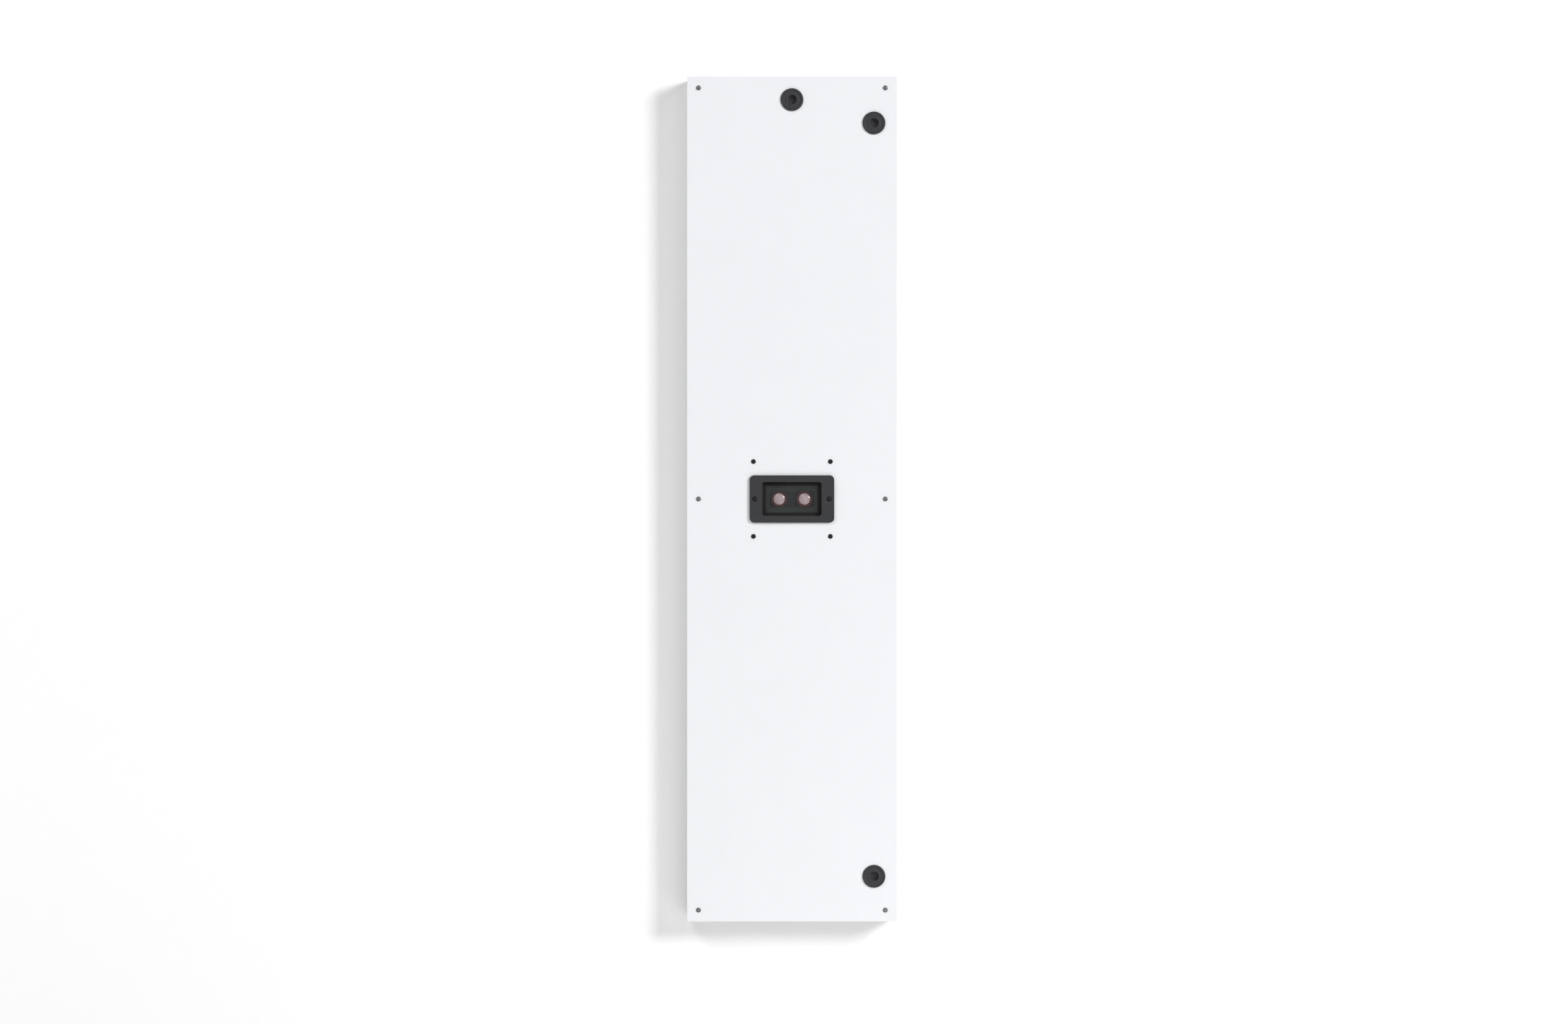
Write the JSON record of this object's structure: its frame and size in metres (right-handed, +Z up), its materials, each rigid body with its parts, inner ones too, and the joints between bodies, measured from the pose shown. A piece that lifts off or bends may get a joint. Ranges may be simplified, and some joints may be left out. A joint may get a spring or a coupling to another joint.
{
  "type": "security gate panel",
  "caption": "Wall-hung shop security gate panel: white plate on a folded tray, cable grommets, a central twin-lens people sensor, and antennas and boards inside.",
  "frame": {"origin": "centre of the tray's back face, on the wall plane", "axes": "+Z up along the panel, +Y out of the back into the wall, so the front plate faces -Y and +X is to the viewer's right"},
  "size_m": [0.248, 0.0535, 1],
  "materials": {
    "tray_paint": "white powder coat on folded steel sheet, satin, with a fine orange-peel",
    "white_plate": "cool white satin ABS sheet, radio-transparent, with sawn edges",
    "seal_foam": "closed-cell black foam strip",
    "stainless_steel": "plain stainless pan-head screws",
    "zinc_steel": "bright zinc-plated steel",
    "black_steel": "black-oxide steel screws",
    "grommet_rubber": "moulded black rubber, matt",
    "black_plastic": "black glass-filled plastic with a fine spark-eroded grain",
    "window_glass": "smoked infrared-passing window, polished",
    "black_aluminium": "black anodised lens barrels",
    "coated_glass": "front lens elements with a pinkish anti-reflection coating",
    "circuit_board": "green solder resist on glass-epoxy board",
    "chip_plastic": "black moulded component packages",
    "bare_aluminium": "mill-finish aluminium sheet",
    "nylon": "natural nylon mouldings",
    "brass": "turned brass",
    "coax_jacket": "brown fluoropolymer jacket of the antenna leads",
    "tinned_steel": "tinned sheet steel",
    "terminal_plastic": "green moulded screw terminals",
    "lead_jacket": "black PVC lead jacket",
    "red_plastic": "red acetal plunger"
  },
  "bodies": {
    "case": {"rear_tray": "tray_paint", "front_plate": "white_plate", "plate_seal": "seal_foam", "cover_screws": "stainless_steel", "cover_pillars": "zinc_steel", "grommet_top_centre": "grommet_rubber", "grommet_top_right": "grommet_rubber", "grommet_bottom_right": "grommet_rubber", "sensor_bezel": "black_plastic", "bezel_seal": "seal_foam", "bezel_screws": "black_steel", "sensor_window": "window_glass", "sensor_shell": "black_plastic", "lens_holder": "black_plastic", "lens_barrel_left": "black_aluminium", "lens_barrel_right": "black_aluminium", "lens_left": "coated_glass", "lens_right": "coated_glass", "image_chips": "chip_plastic", "sensor_board": "circuit_board", "sensor_back": "black_plastic", "sensor_back_screws": "stainless_steel", "sensor_carrier": "zinc_steel", "carrier_screws": "black_steel", "carrier_nuts": "zinc_steel", "upper_reflector": "bare_aluminium", "lower_reflector": "bare_aluminium", "reflector_pillars": "zinc_steel", "reflector_screws": "stainless_steel", "antenna_patch_1": "bare_aluminium", "antenna_patch_2": "bare_aluminium", "antenna_patch_3": "bare_aluminium", "antenna_patch_4": "bare_aluminium", "patch_posts": "nylon", "antenna_sockets": "brass", "feed_pins": "brass", "coax_lead_1": "coax_jacket", "coax_lead_2": "coax_jacket", "coax_lead_3": "coax_jacket", "coax_lead_4": "coax_jacket", "reader_board": "circuit_board", "reader_shield": "tinned_steel", "reader_chips": "chip_plastic", "board_sockets": "nylon", "board_pillars": "zinc_steel", "board_screws": "stainless_steel", "network_board": "circuit_board", "network_jack": "tinned_steel", "link_terminal": "terminal_plastic", "reset_switch": "chip_plastic", "power_board": "circuit_board", "power_terminal": "terminal_plastic", "power_parts": "chip_plastic", "sensor_lead": "lead_jacket", "power_lead": "lead_jacket", "network_lead": "lead_jacket", "tamper_switch": "black_plastic", "earth_stud": "brass"},
    "tamper_plunger": {"tamper_plunger": "red_plastic"},
    "reset_button": {"reset_button": "black_plastic"}
  },
  "joints": [
    {"name": "tamper_press", "type": "slide", "parent": "case", "child": "tamper_plunger", "axis": [0, 1, 0], "range_m": [0, 0.001], "stiffness_N_per_m": 400, "springref_m": -0.002},
    {"name": "reset_press", "type": "slide", "parent": "case", "child": "reset_button", "axis": [0, 1, 0], "range_m": [0, 0.0003], "stiffness_N_per_m": 1500, "springref_m": -0.0005}
  ]
}
